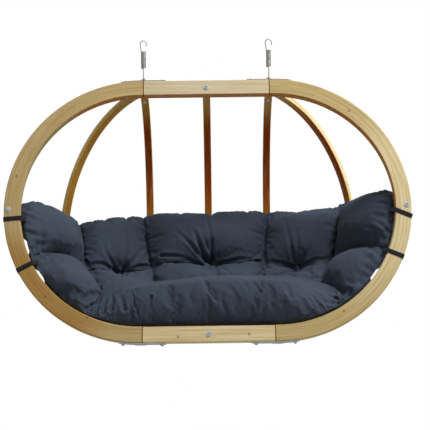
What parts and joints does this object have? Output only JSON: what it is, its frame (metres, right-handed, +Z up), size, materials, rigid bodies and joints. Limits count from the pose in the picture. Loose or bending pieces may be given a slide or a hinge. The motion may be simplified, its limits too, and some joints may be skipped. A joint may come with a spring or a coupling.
{
  "type": "double hanging chair",
  "caption": "Double hanging chair: a bent-wood ring with a ribbed back, a quilted bowl cushion tied in with straps, hung from two extension springs.",
  "frame": {"origin": "midway between the seats of the two spring hooks, where the chair hangs", "axes": "+X to the right as seen from the front, +Y to the back of the chair, +Z up"},
  "size_m": [1.7682, 0.7774, 1.3346],
  "materials": {
    "ring_wood": "clear-coated spruce",
    "rib_wood": "clear-coated spruce",
    "zinc_steel": "zinc plated",
    "spring_steel": "zinc plated",
    "cushion_cloth": "woven, dark slate",
    "strap_webbing": "woven, dark slate"
  },
  "bodies": {
    "hangers": {"spring_hooks": "spring_steel", "spring_coils": "spring_steel"},
    "spring_ends": {"spring_loops": "spring_steel"},
    "chair": {"left_hoop": "ring_wood", "right_hoop": "ring_wood", "top_rail": "ring_wood", "bottom_rail": "ring_wood", "left_outer_rib": "rib_wood", "left_back_rib": "rib_wood", "centre_back_rib": "rib_wood", "right_back_rib": "rib_wood", "right_outer_rib": "rib_wood", "back_band": "rib_wood", "top_left_plate": "zinc_steel", "top_right_plate": "zinc_steel", "bottom_left_plate": "zinc_steel", "bottom_right_plate": "zinc_steel", "hanger_eyes": "zinc_steel", "joint_bolts": "zinc_steel", "joint_nuts": "zinc_steel", "frame_bolts": "zinc_steel", "seat_cushion": "cushion_cloth", "left_upper_strap": "strap_webbing", "left_lower_strap": "strap_webbing", "right_upper_strap": "strap_webbing", "right_lower_strap": "strap_webbing"}
  },
  "joints": [
    {"name": "spring_stretch", "type": "slide", "parent": "hangers", "child": "spring_ends", "axis": [0, 0, -1], "range_m": [0, 0.05], "stiffness_N_per_m": 36000, "springref_m": -0.0085, "deforming": ["spring_coils"]},
    {"name": "swing", "type": "hinge", "parent": "spring_ends", "child": "chair", "pos_m": [0, 0, -0.1695], "axis": [1, 0, 0], "range_deg": [-20, 20]}
  ]
}
